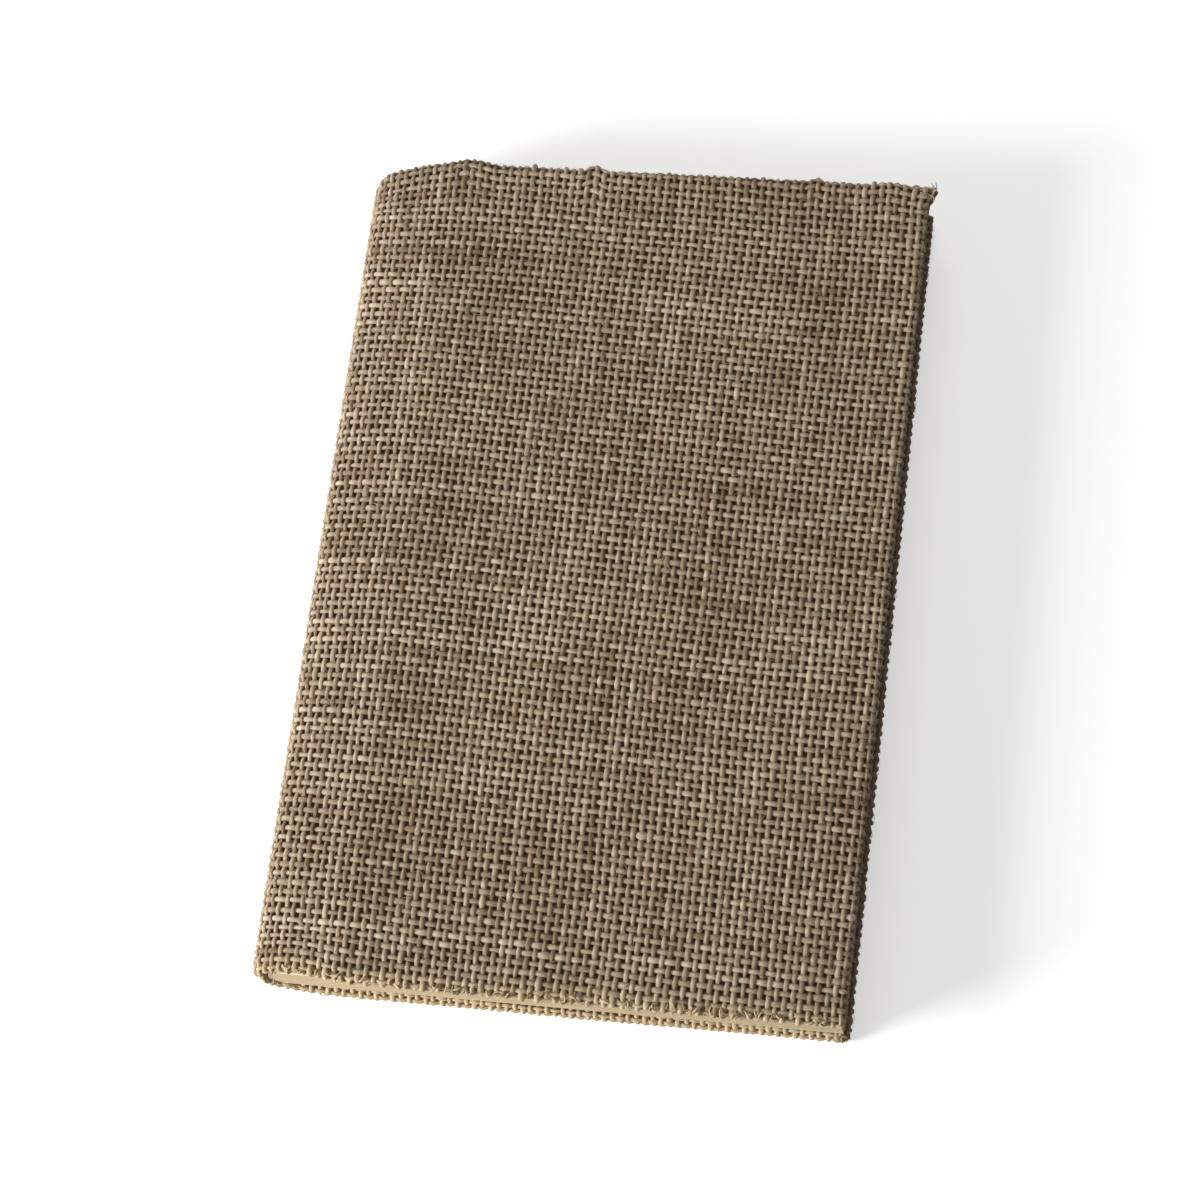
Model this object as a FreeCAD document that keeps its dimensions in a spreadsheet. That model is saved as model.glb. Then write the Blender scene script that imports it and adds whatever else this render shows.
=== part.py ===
"""A hardcover notebook: sewn pages in a case of two boards, covered in coarse jute cloth.

The closed book lies on its back cover. X runs from the spine (-X) to the fore-edge (+X),
Y runs from the tail to the head, and Z is up. The origin is the middle of the book's
footprint, on the surface that it lies on. All sizes are in millimetres.

The cover's top is flat from the fore-edge to where the roll starts. From there it follows
one large arc down to the seam, and then a small arc goes round the spine. Both arcs share
a tangent at the seam, which is where each cover turns.
"""
import FreeCAD, Part
import math
import os
import Sketcher

doc = FreeCAD.newDocument("hardcover_notebook")

# ---------------------------------------------------------------- driving dimensions
SIZES = {
    "page_width": 139.7,          # spine to fore-edge of a page
    "page_height": 215.9,         # tail to head of a page
    "block_thickness": 9.6,       # all the pages, pressed together
    "spine_round": 3.4,           # how far the back of the pages is rounded out
    "lining_thickness": 0.4,      # gauze and paper glued on the back of the pages
    "lining_margin": 0.5,         # bare back left at each side of the lining
    "paste_gap": 0.1,             # paste between the rounded back and its lining
    "endpaper_thickness": 0.3,
    "board_thickness": 2.0,
    "cloth_thickness": 1.2,       # over two crossing threads
    "turn_in_width": 15.0,        # cloth folded over onto the inside of a board
    "head_overhang": 1.55,        # cover beyond the pages, at head and at tail
    "fore_edge_overhang": 1.5,    # cover beyond the pages, at the fore-edge
    "roll_width": 30.0,           # spine to where the cover starts to roll down
    "roll_drop": 3.3,             # how far each side of the spine lies inside the covers
    "board_setback": 20.0,        # spine to the boards: the soft joint lies between
    "joint_fold_clearance": 0.6,  # folded-over cloth of the joint above the flyleaf
    "strip_thickness": 0.8,       # card strip that stiffens the spine
    "strip_half_angle": 55.0,     # degrees that it reaches round each way
    "hollow_gap": 1.0,            # between the spine's folded cloth and the lining
    "pastedown_margin": 3.0,      # cloth left bare round the pastedown
    "paper_clearance": 0.2,       # edge of the pastedown below the cloth of the joint
    "flyleaf_clearance": 0.4,     # edge of the flyleaf below the cloth of the joint
    "fold_clearance": 0.3,        # pastedown to flyleaf, beside the fold
    "hinge_gap": 0.3,             # between the cloth of a cover and that of the spine
    "hinge_offset": 0.2,          # turning line outside the cloth, where it folds back
}

sheet = doc.addObject("Spreadsheet::Sheet", "Sizes")
for row, (alias, value) in enumerate(SIZES.items(), start=1):
    sheet.set(f"A{row}", alias)
    sheet.set(f"B{row}", str(value))
    sheet.setAlias(f"B{row}", alias)
doc.recompute()

# ---------------------------------------------------------------- sizes that follow
def roll_x_at(z, depth):
    """Where the roll's arc, at a depth under the outside of the cloth, is at height z."""
    rise = f"({z} - Book.roll_centre_z)"
    return f"Book.roll_x - sqrt((Book.roll_radius - {depth}) ^ 2 - {rise} ^ 2)"


FOLLOWS = {
    "half_book": "2 * Sizes.cloth_thickness + Sizes.board_thickness"
                 " + 2 * Sizes.endpaper_thickness + Sizes.block_thickness / 2",
    "cover_width": "2 * Sizes.cloth_thickness + Sizes.strip_thickness + Sizes.hollow_gap"
                   " + Sizes.lining_thickness + Sizes.paste_gap + Sizes.page_width"
                   " + Sizes.fore_edge_overhang",
    "cover_height": "Sizes.page_height + 2 * Sizes.head_overhang",
    "spine_x": "-Book.cover_width / 2",
    "fore_x": "Book.cover_width / 2",
    # pages
    "block_half": "Sizes.block_thickness / 2",
    "page_fore_x": "Book.fore_x - Sizes.fore_edge_overhang",
    "page_spine_x": "Book.page_fore_x - Sizes.page_width",
    "page_corner_x": "Book.page_spine_x + Sizes.spine_round",
    "back_radius": "(Book.block_half ^ 2 + Sizes.spine_round ^ 2) / (2 * Sizes.spine_round)",
    "back_centre_x": "Book.page_spine_x + Book.back_radius",
    # spine and roll
    "spine_radius": "Book.half_book - Sizes.roll_drop",
    "spine_centre_x": "Book.spine_x + Book.spine_radius",
    "roll_x": "Book.spine_x + Sizes.roll_width",
    "roll_radius": "(Sizes.roll_width ^ 2 + Book.half_book ^ 2"
                   " - 2 * Sizes.roll_width * Book.spine_radius) / (2 * Sizes.roll_drop)",
    "roll_centre_z": "2 * Book.half_book - Book.roll_radius",
    "seam_sine": "(Sizes.roll_width - Book.spine_radius) / (Book.roll_radius - Book.spine_radius)",
    "seam_cosine": "sqrt(1 - Book.seam_sine ^ 2)",
    "strip_sine": "sin(Sizes.strip_half_angle * 1 deg)",
    "strip_cosine": "cos(Sizes.strip_half_angle * 1 deg)",
    # boards and cloth
    "board_spine_x": "Book.spine_x + Sizes.board_setback",
    "board_fore_x": "Book.fore_x - Sizes.cloth_thickness",
    "board_height": "Book.cover_height - 2 * Sizes.cloth_thickness",
    "board_top": "2 * Book.half_book - Sizes.cloth_thickness",
    "board_bottom": "Book.board_top - Sizes.board_thickness",
    "turn_in_bottom": "Book.board_bottom - Sizes.cloth_thickness",
    "turn_in_fore_x": "Book.board_fore_x - Sizes.turn_in_width",
    "window_height": "Book.board_height - 2 * Sizes.turn_in_width",
    # endpapers; their spine edges end where the joint's cloth has come down to them
    "flyleaf_bottom": "Book.half_book + Book.block_half",
    "flyleaf_top": "Book.flyleaf_bottom + Sizes.endpaper_thickness",
    "joint_fold_x": roll_x_at("Book.flyleaf_top + Sizes.joint_fold_clearance",
                              "2 * Sizes.cloth_thickness"),
    "flyleaf_spine_x": roll_x_at("Book.flyleaf_top + Sizes.flyleaf_clearance",
                                 "Sizes.cloth_thickness"),
    "paper_spine_x": roll_x_at("Book.flyleaf_top + Sizes.fold_clearance"
                               " + Sizes.endpaper_thickness + Sizes.paper_clearance",
                               "Sizes.cloth_thickness"),
    "paper_fore_x": "Book.board_fore_x - Sizes.pastedown_margin",
    "paper_height": "Book.board_height - 2 * Sizes.pastedown_margin",
    # turning line of the front cover; the back cover's lies as far below the middle
    "hinge_x": "Book.spine_centre_x - (Book.spine_radius + Sizes.hinge_offset) * Book.seam_sine",
    "hinge_rise": "(Book.spine_radius + Sizes.hinge_offset) * Book.seam_cosine",
}

book = doc.addObject("App::VarSet", "Book")
for name in FOLLOWS:
    book.addProperty("App::PropertyFloat", name, "Book")
for name, text in FOLLOWS.items():
    book.setExpression(name, text)
    doc.recompute()


def number(text):
    """The value that an expression has now."""
    value = book.evalExpression(text)
    return float(getattr(value, "Value", value))


# ---------------------------------------------------------------- drawing helpers
def plane(body, role):
    """One of a body's own origin planes."""
    return next(f for f in body.Origin.OriginFeatures if f.Role == role)


def arc_centre(start, end, radius, side):
    """Centre of an arc from start to end; side +1 bulges to the right of the way along."""
    along = (end[0] - start[0], end[1] - start[1])
    chord = math.hypot(*along)
    rise = math.sqrt(max(radius ** 2 - chord ** 2 / 4, 0)) / chord
    return ((start[0] + end[0]) / 2 - side * rise * along[1],
            (start[1] + end[1]) / 2 + side * rise * along[0])


def section(body, name, corners, arcs=None):
    """A closed outline across the book, in X and Z, with each corner bound to the sizes.

    corners is a list of (x, z) expressions. arcs maps the number of a side to its
    (radius expression, bulge side); the other sides are straight. Corner i starts side i.
    """
    arcs = arcs or {}
    sketch = body.newObject("Sketcher::SketchObject", name)
    sketch.AttachmentSupport = [(plane(body, "XZ_Plane"), "")]
    sketch.MapMode = "FlatFace"
    places = [(number(x), number(z)) for x, z in corners]
    count = len(places)
    ends = []
    for side in range(count):
        start, end = places[side], places[(side + 1) % count]
        first, last = (FreeCAD.Vector(*p, 0) for p in (start, end))
        if side not in arcs:
            sketch.addGeometry(Part.LineSegment(first, last), False)
            ends.append((1, 2))
            continue
        radius_text, bulge = arcs[side]
        radius = number(radius_text)
        centre = arc_centre(start, end, radius, bulge)
        circle = Part.Circle(FreeCAD.Vector(*centre, 0), FreeCAD.Vector(0, 0, 1), radius)
        angles = [math.atan2(p[1] - centre[1], p[0] - centre[0]) for p in (start, end)]
        # an arc always runs anticlockwise, which is the way along when it bulges right
        if bulge > 0:
            sketch.addGeometry(Part.ArcOfCircle(circle, angles[0], angles[1]), False)
            ends.append((1, 2))
        else:
            sketch.addGeometry(Part.ArcOfCircle(circle, angles[1], angles[0]), False)
            ends.append((2, 1))
    for side in range(count):
        after = (side + 1) % count
        joined = Sketcher.Constraint("Coincident", side, ends[side][1], after, ends[after][0])
        sketch.addConstraint(joined)
    for side, ((x, z), (place_x, place_z)) in enumerate(zip(corners, places)):
        for kind, text, value in (("DistanceX", x, place_x), ("DistanceY", z, place_z)):
            index = sketch.addConstraint(
                Sketcher.Constraint(kind, -1, 1, side, ends[side][0], value))
            sketch.setExpression(f"Constraints[{index}]", text)
    for side, (radius_text, bulge) in arcs.items():
        index = sketch.addConstraint(
            Sketcher.Constraint("Radius", side, number(radius_text)))
        sketch.setExpression(f"Constraints[{index}]", radius_text)
    return sketch


def along_spine(body, kind, name, sketch, length):
    """A Pad or Pocket of a section, its length centred on the middle of the book."""
    before = body.Shape.Volume if kind == "Pocket" else 0
    feature = body.newObject(f"PartDesign::{kind}", name)
    feature.Profile = sketch
    feature.SideType = "Symmetric"
    feature.setExpression("Length", length)
    doc.recompute()
    if kind == "Pocket" and not feature.Shape.Volume < before - 1:
        raise RuntimeError(f"{name} cuts nothing")
    return feature


def new_body(label):
    body = doc.addObject("PartDesign::Body", label)
    body.Label = label
    return body


def roll_z(x, depth="0"):
    """Height of the roll's arc at x, at a depth under the outside of the cloth."""
    run = f"(Book.roll_x - ({x}))"
    return f"(Book.roll_centre_z + sqrt((Book.roll_radius - {depth}) ^ 2 - {run} ^ 2))"


CLOTH = "Sizes.cloth_thickness"
UNDER_CLOTH = f"(Book.roll_radius - {CLOTH})"
TOP = "2 * Book.half_book"

# where a cover's cloth starts, beside the seam: outside and inside
seam_x = "(Book.hinge_x + Sizes.hinge_offset * Book.seam_sine + Sizes.hinge_gap)"
seam_share = f"((Book.roll_radius - {CLOTH}) / Book.roll_radius)"
seam_inner_x = f"(Book.roll_x - (Book.roll_x - {seam_x}) * {seam_share})"
seam_inner_z = f"(Book.roll_centre_z + ({roll_z(seam_x)} - Book.roll_centre_z) * {seam_share})"


# ---------------------------------------------------------------- pages
def make_page_block():
    body = new_body("page_block")
    low, high = "(Book.half_book - Book.block_half)", "(Book.half_book + Book.block_half)"
    outline = section(body, "page_section", [
        ("Book.page_fore_x", low),
        ("Book.page_fore_x", high),
        ("Book.page_corner_x", high),
        ("Book.page_corner_x", low),
    ], arcs={2: ("Book.back_radius", 1)})
    along_spine(body, "Pad", "pages", outline, "Sizes.page_height")
    return body


def make_spine_lining():
    """Gauze and paper that follow the rounded back of the pages."""
    body = new_body("spine_lining")
    inner = "(Book.back_radius + Sizes.paste_gap)"
    outer = f"({inner} + Sizes.lining_thickness)"
    rise = "(Book.block_half - Sizes.lining_margin)"
    run = f"sqrt({inner} ^ 2 - {rise} ^ 2)"
    grow = f"({outer} / {inner})"
    near_x = f"(Book.back_centre_x - {run})"
    far_x = f"(Book.back_centre_x - {run} * {grow})"
    outline = section(body, "lining_section", [
        (near_x, f"(Book.half_book - {rise})"),
        (near_x, f"(Book.half_book + {rise})"),
        (far_x, f"(Book.half_book + {rise} * {grow})"),
        (far_x, f"(Book.half_book - {rise} * {grow})"),
    ], arcs={0: (inner, -1), 2: (outer, 1)})
    along_spine(body, "Pad", "lining", outline, "Sizes.page_height")
    return body


# ---------------------------------------------------------------- spine of the case
def spine_band(body, name, outer, inner, sine, cosine):
    """A section of a band round the spine, between two radii, up to a direction."""
    return section(body, name, [
        (f"(Book.spine_centre_x - {outer} * {cosine})", f"(Book.half_book + {outer} * {sine})"),
        (f"(Book.spine_centre_x - {outer} * {cosine})", f"(Book.half_book - {outer} * {sine})"),
        (f"(Book.spine_centre_x - {inner} * {cosine})", f"(Book.half_book - {inner} * {sine})"),
        (f"(Book.spine_centre_x - {inner} * {cosine})", f"(Book.half_book + {inner} * {sine})"),
    ], arcs={0: (outer, 1), 2: (inner, -1)})


STRIP_OUTER = f"(Book.spine_radius - {CLOTH})"
STRIP_INNER = f"(Book.spine_radius - {CLOTH} - Sizes.strip_thickness)"
FOLD_INNER = f"(Book.spine_radius - 2 * {CLOTH} - Sizes.strip_thickness)"


def make_spine_strip():
    body = new_body("spine_strip")
    outline = spine_band(body, "strip_section", STRIP_OUTER, STRIP_INNER,
                         "Book.strip_sine", "Book.strip_cosine")
    along_spine(body, "Pad", "strip", outline, "Book.board_height")
    return body


def make_spine_cloth():
    """Cloth round the spine, folded over the ends of the card strip."""
    body = new_body("spine_cloth")
    skin = spine_band(body, "skin_section", "Book.spine_radius", STRIP_OUTER,
                      "Book.seam_cosine", "Book.seam_sine")
    along_spine(body, "Pad", "skin", skin, "Book.cover_height")
    fold = spine_band(body, "fold_section", "Book.spine_radius", FOLD_INNER,
                      "Book.strip_sine", "Book.strip_cosine")
    along_spine(body, "Pad", "fold", fold, "Book.cover_height")
    slot = spine_band(body, "slot_section", STRIP_OUTER, STRIP_INNER,
                      "Book.strip_sine", "Book.strip_cosine")
    along_spine(body, "Pocket", "strip_slot", slot, "Book.board_height")
    window = spine_band(body, "window_section", STRIP_OUTER,
                        f"({FOLD_INNER} - {CLOTH} / 2)", "Book.strip_sine", "Book.strip_cosine")
    along_spine(body, "Pocket", "between_folds", window, "Book.window_height")
    return body


# ---------------------------------------------------------------- covers
def board_section(body, name):
    """The board: flat below, and shaved along the roll on its outer side."""
    return section(body, name, [
        ("Book.board_fore_x", "Book.board_bottom"),
        ("Book.board_fore_x", "Book.board_top"),
        ("Book.roll_x", "Book.board_top"),
        ("Book.board_spine_x", roll_z("Book.board_spine_x", CLOTH)),
        ("Book.board_spine_x", "Book.board_bottom"),
    ], arcs={2: (UNDER_CLOTH, 1)})


def make_front_board():
    body = new_body("front_board")
    outline = board_section(body, "board_section")
    along_spine(body, "Pad", "board", outline, "Book.board_height")
    return body


def make_front_cloth():
    """Cloth from the seam over the board, round its three edges and folded over inside."""
    body = new_body("front_cloth")
    double = f"(2 * {CLOTH})"
    whole = section(body, "whole_section", [
        ("Book.fore_x", "Book.turn_in_bottom"),
        ("Book.fore_x", TOP),
        ("Book.roll_x", TOP),
        (seam_x, roll_z(seam_x)),
        (seam_inner_x, seam_inner_z),
        ("Book.joint_fold_x", roll_z("Book.joint_fold_x", CLOTH)),
        ("Book.joint_fold_x", roll_z("Book.joint_fold_x", double)),
        ("Book.board_spine_x", roll_z("Book.board_spine_x", double)),
        ("Book.board_spine_x", "Book.turn_in_bottom"),
    ], arcs={
        2: ("Book.roll_radius", 1),
        4: (UNDER_CLOTH, -1),
        6: (f"(Book.roll_radius - {double})", -1),
    })
    along_spine(body, "Pad", "whole", whole, "Book.cover_height")
    space = board_section(body, "board_space")
    along_spine(body, "Pocket", "board_pocket", space, "Book.board_height")
    below = f"(Book.turn_in_bottom - {CLOTH})"
    window = section(body, "window_section", [
        ("Book.turn_in_fore_x", below),
        ("Book.turn_in_fore_x", "Book.board_bottom"),
        ("Book.board_spine_x", "Book.board_bottom"),
        ("Book.board_spine_x", roll_z("Book.board_spine_x", CLOTH)),
        ("Book.joint_fold_x", roll_z("Book.joint_fold_x", CLOTH)),
        ("Book.joint_fold_x", below),
    ], arcs={3: (UNDER_CLOTH, 1)})
    along_spine(body, "Pocket", "window", window, "Book.window_height")
    return body


def make_front_pastedown():
    """Paper pasted over the turned-in cloth, down onto the board, and on to the fold."""
    body = new_body("front_pastedown")
    paper = "Sizes.endpaper_thickness"
    fold_low = "(Book.flyleaf_top + Sizes.fold_clearance)"
    floor = section(body, "floor_section", [
        ("Book.paper_fore_x", f"(Book.turn_in_bottom - {paper})"),
        ("Book.paper_fore_x", "Book.turn_in_bottom"),
        ("Book.turn_in_fore_x", "Book.turn_in_bottom"),
        ("Book.turn_in_fore_x", "Book.board_bottom"),
        ("Book.board_spine_x", "Book.board_bottom"),
        ("Book.paper_spine_x", f"({fold_low} + {paper})"),
        ("Book.paper_spine_x", fold_low),
        ("Book.board_spine_x", f"(Book.board_bottom - {paper})"),
        ("Book.board_spine_x", f"(Book.turn_in_bottom - {paper})"),
    ])
    along_spine(body, "Pad", "floor", floor, "Book.window_height")
    rim = section(body, "rim_section", [
        ("Book.paper_fore_x", f"(Book.turn_in_bottom - {paper})"),
        ("Book.paper_fore_x", "Book.turn_in_bottom"),
        ("Book.board_spine_x", "Book.turn_in_bottom"),
        ("Book.board_spine_x", f"(Book.turn_in_bottom - {paper})"),
    ])
    along_spine(body, "Pad", "rim", rim, "Book.paper_height")
    recess = section(body, "recess_section", [
        (f"(Book.turn_in_fore_x - {paper})", f"(Book.turn_in_bottom - 2 * {paper})"),
        (f"(Book.turn_in_fore_x - {paper})", f"(Book.board_bottom - {paper})"),
        ("Book.board_spine_x", f"(Book.board_bottom - {paper})"),
        ("Book.board_spine_x", f"(Book.turn_in_bottom - 2 * {paper})"),
    ])
    along_spine(body, "Pocket", "recess", recess, f"Book.window_height - 2 * {paper}")
    return body


def make_front_flyleaf():
    """The free half of the endpaper, from its fold to the fore-edge of the pages."""
    leaf = doc.addObject("Part::Box", "front_flyleaf")
    leaf.Label = "front_flyleaf"
    for name, text in {
        "Length": "Book.page_fore_x - Book.flyleaf_spine_x",
        "Width": "Sizes.page_height",
        "Height": "Sizes.endpaper_thickness",
        "Placement.Base.x": "Book.flyleaf_spine_x",
        "Placement.Base.y": "-Sizes.page_height / 2",
        "Placement.Base.z": "Book.flyleaf_bottom",
    }.items():
        leaf.setExpression(name, text)
    return leaf


def mirrored(front):
    """The back cover's copy of a front piece, about the middle of the book's thickness."""
    label = front.Label.replace("front", "back")
    copy = doc.addObject("Part::Mirroring", label)
    copy.Label = label
    copy.Source = front
    copy.Normal = FreeCAD.Vector(0, 0, 1)
    copy.setExpression("Base.z", "Book.half_book")
    return copy


pieces = [make_page_block(), make_spine_lining(), make_spine_strip(), make_spine_cloth()]
for make in (make_front_board, make_front_cloth, make_front_pastedown, make_front_flyleaf):
    front = make()
    doc.recompute()
    pieces += [front, mirrored(front)]
doc.recompute()

# ---------------------------------------------------------------- checks and files
for item in doc.Objects:
    if {"Invalid", "Error"} & set(item.State):
        raise RuntimeError(f"{item.Label} failed: {item.State}")
for piece in pieces:
    if piece.Shape.isNull() or not piece.Shape.isValid() or len(piece.Shape.Solids) != 1:
        raise RuntimeError(f"{piece.Label} isn't one valid solid")

os.makedirs("parts", exist_ok=True)
for piece in pieces:
    piece.Shape.exportStep(f"parts/{piece.Label}.step")
    box = piece.Shape.BoundBox
    print(f"{piece.Label}: {piece.Shape.Volume:.1f} mm3,"
          f" x {box.XMin:.2f} to {box.XMax:.2f}, y {box.YMin:.2f} to {box.YMax:.2f},"
          f" z {box.ZMin:.2f} to {box.ZMax:.2f}")
print(f"turning lines: x {book.hinge_x:.4f}, z {book.half_book:.4f}"
      f" plus and minus {book.hinge_rise:.4f}")
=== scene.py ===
# %% [markdown]
# # A hardcover notebook in jute cloth
# This script dresses the notebook that was built in CAD. The CAD frame gives the bodies that move,
# the hinge lines and the plain solids. Blender adds what the eye reads as a real book: cloth that is
# truly woven thread over thread, paper that folds at the hinge, and the edges of the leaves.

# %% Load the frame
import math
from random import Random

import bpy
from mathutils import Matrix, Vector


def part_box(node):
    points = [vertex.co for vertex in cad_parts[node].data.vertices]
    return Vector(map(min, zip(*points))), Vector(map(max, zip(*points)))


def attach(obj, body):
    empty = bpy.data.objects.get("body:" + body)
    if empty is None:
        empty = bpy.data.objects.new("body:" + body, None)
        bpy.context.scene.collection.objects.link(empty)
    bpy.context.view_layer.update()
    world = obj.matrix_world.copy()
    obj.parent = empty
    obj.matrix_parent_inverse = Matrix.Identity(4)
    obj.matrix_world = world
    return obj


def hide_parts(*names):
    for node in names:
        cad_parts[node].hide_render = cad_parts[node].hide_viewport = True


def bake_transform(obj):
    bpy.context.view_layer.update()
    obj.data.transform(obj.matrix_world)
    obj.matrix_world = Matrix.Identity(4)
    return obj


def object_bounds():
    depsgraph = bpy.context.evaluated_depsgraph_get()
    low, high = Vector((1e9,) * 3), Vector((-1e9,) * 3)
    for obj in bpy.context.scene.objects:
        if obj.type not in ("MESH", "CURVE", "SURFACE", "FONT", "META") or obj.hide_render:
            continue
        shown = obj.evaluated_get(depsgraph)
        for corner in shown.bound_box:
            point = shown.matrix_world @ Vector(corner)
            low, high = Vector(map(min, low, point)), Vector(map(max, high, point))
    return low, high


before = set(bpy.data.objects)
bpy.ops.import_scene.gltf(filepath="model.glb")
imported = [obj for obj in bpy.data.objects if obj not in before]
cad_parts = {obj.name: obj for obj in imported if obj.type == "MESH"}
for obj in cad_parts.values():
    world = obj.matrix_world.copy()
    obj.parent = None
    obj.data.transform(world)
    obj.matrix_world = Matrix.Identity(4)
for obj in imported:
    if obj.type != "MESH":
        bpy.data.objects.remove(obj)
cad_lo, cad_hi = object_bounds()
mm = 0.001
print("CAD box in mm:", [round(v / mm, 2) for v in (*cad_lo, *cad_hi)])

# %% [markdown]
# ## Writing node trees in plain lines
# Geometry Nodes build what repeats here, and a cloth repeats a great deal. Trees are usually drawn
# with the mouse. In a script it helps to have one short call for each node, and a small class that
# lets sums between sockets be written like ordinary sums.

# %% One call for each node
def first_output(node):
    return next(s for s in node.outputs if s.enabled)


def join(tree, value, socket):
    """Put a number, a node, an output or a Value into an input; None leaves the input as it is."""
    value = getattr(value, "socket", value)
    if isinstance(value, bpy.types.Node):
        value = first_output(value)
    if isinstance(value, bpy.types.NodeSocket):
        tree.links.new(value, socket)
    elif value is not None:
        socket.default_value = value


def add(tree, kind, *values, **settings):
    """Add a node, set its options, then fill its inputs in order with numbers or other outputs."""
    node = tree.nodes.new(kind)
    for name, value in settings.items():
        setattr(node, name, value)
    for socket, value in zip([s for s in node.inputs if s.enabled], values):
        join(tree, value, socket)
    return node


def fill(tree, node, **values):
    """Fill a node's inputs by name, with _ for a space."""
    for label, value in values.items():
        named = [s for s in node.inputs if s.enabled and s.name == label.replace("_", " ")]
        join(tree, value, named[0])
    return node


# %% Sums between sockets
class Value:
    """An output that can be added, multiplied and compared as if it were a number."""

    def __init__(self, tree, source):
        self.tree = tree
        self.socket = first_output(source) if isinstance(source, bpy.types.Node) else source

    def math(self, operation, *others):
        return Value(self.tree, add(self.tree, "ShaderNodeMath", self, *others, operation=operation))


# Each sign and word stands for one operation of the Math node.
for name, operation in {"__add__": "ADD", "__sub__": "SUBTRACT", "__mul__": "MULTIPLY",
                        "__truediv__": "DIVIDE", "floor": "FLOOR", "size": "ABSOLUTE",
                        "above": "GREATER_THAN", "below": "LESS_THAN", "at_least": "MAXIMUM"}.items():
    setattr(Value, name, lambda self, *others, kind=operation: self.math(kind, *others))


# %% Vectors, ramps and noise
def vector(tree, x, y, z):
    return add(tree, "ShaderNodeCombineXYZ", x, y, z)


def vector_math(tree, operation, *values):
    return add(tree, "ShaderNodeVectorMath", *values, operation=operation)


def parts_of(tree, source):
    """The x, y and z of a vector, each as a Value."""
    return [Value(tree, s) for s in add(tree, "ShaderNodeSeparateXYZ", source).outputs]


def ramp(tree, value, low, high, to_low=0.0, to_high=1.0, smooth=False):
    """Carry value from the range low..high to the range to_low..to_high, and hold it there."""
    kind = "SMOOTHSTEP" if smooth else "LINEAR"
    return Value(tree, add(tree, "ShaderNodeMapRange", value, low, high, to_low, to_high,
                           interpolation_type=kind))


def noise(tree, where, scale=1.0, detail=1.0):
    """Soft noise between about -0.5 and 0.5."""
    node = add(tree, "ShaderNodeTexNoise", where, scale, detail, noise_dimensions="3D")
    return Value(tree, node.outputs[0]) - 0.5


# %% Geometry trees
SOCKETS = {"geometry": "NodeSocketGeometry", "number": "NodeSocketFloat", "count": "NodeSocketInt",
           "object": "NodeSocketObject", "material": "NodeSocketMaterial"}


def new_tree(name, **kinds):
    """A geometry tree with named inputs. Returns the tree and its inputs by name."""
    tree = bpy.data.node_groups.new(name, "GeometryNodeTree")
    tree.interface.new_socket("Geometry", in_out="OUTPUT", socket_type=SOCKETS["geometry"])
    labels = []
    for kind, names in {"geometry": ["Geometry"], **kinds, "material": ["Material"]}.items():
        for label in names:
            tree.interface.new_socket(label, in_out="INPUT", socket_type=SOCKETS[kind])
            labels.append(label)
    given = tree.nodes.new("NodeGroupInput")
    return tree, {label: Value(tree, given.outputs[label]) for label in labels}


def finish_tree(tree, geometry, material):
    """Every tree ends the same way: instances made real, then the material."""
    real = add(tree, "GeometryNodeRealizeInstances", geometry)
    painted = add(tree, "GeometryNodeSetMaterial", real, None, material)
    join(tree, painted, tree.nodes.new("NodeGroupOutput").inputs[0])
    print(f"tree {tree.name}: {len(tree.nodes)} nodes")
    return tree


def place_now(tree):
    return tree.nodes.new("GeometryNodeInputPosition")


def note(tree, geometry, name, value, kind="FLOAT"):
    """Write a value down on every point, for later nodes and for the materials."""
    return add(tree, "GeometryNodeStoreNamedAttribute", geometry, None, name, value,
               data_type=kind, domain="POINT")


def tubes_on(tree, curves, sides, radius):
    """Closed, smoothly shaded tubes along the curves."""
    ring = add(tree, "GeometryNodeCurvePrimitiveCircle", sides, radius, mode="RADIUS")
    tubes = add(tree, "GeometryNodeCurveToMesh", curves, ring, 1.0, True)
    return add(tree, "GeometryNodeSetShadeSmooth", tubes, None, True, domain="FACE")


# %% [markdown]
# ## The outline that the cloth follows
# A case is a flat cloth wrapped round boards. So the cloth is woven flat, in its own coordinates: u
# goes round the book from the middle of the spine, v goes up from mid height, and h rises from the
# cloth's outer face. Two lines then say where that flat cloth lies. The girth line goes round the
# spine, over the soft roll and the cover, and in under the fore-edge. The side line goes up the
# cover, over the head edge and in. The tail is its mirror image, and so is the back cover.

# %% Sizes of the case, in millimetres
x_spine, x_fore = cad_lo.x / mm, cad_hi.x / mm
head, top = cad_hi.y / mm, cad_hi.z / mm
middle = top / 2
spine_radius = 6.5          # outside of the rounded spine
roll_width = 30.0           # the cover bends softly down over this width
cover_edge = 4.4            # depth of a cloth-covered edge: cloth, board, cloth
fore_rounding = 1.6         # the cloth rounds the board's edges
head_rounding = 2.0
turn_in = 15.0
lead = 2.0                  # the girth line starts this far past the middle of the spine
spine_x = x_spine + spine_radius
roll_x = x_spine + roll_width
roll_radius = ((spine_x - roll_x) ** 2 + middle**2 - spine_radius**2) / (2 * (middle - spine_radius))
seam_angle = math.asin((roll_x - spine_x) / (roll_radius - spine_radius))
print(f"roll radius {roll_radius:.1f} mm, meeting the spine at {math.degrees(seam_angle):.1f} degrees")


# %% The two lines
def arc(cx, cz, radius, start, end, steps):
    """Points on an arc, with angles in degrees from the first axis towards the second."""
    angles = [math.radians(start + (end - start) * i / steps) for i in range(steps + 1)]
    return [(cx + radius * math.cos(a), cz + radius * math.sin(a)) for a in angles]


def linked(name, data):
    made = bpy.data.objects.new(name, data)
    bpy.context.scene.collection.objects.link(made)
    return made


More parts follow.
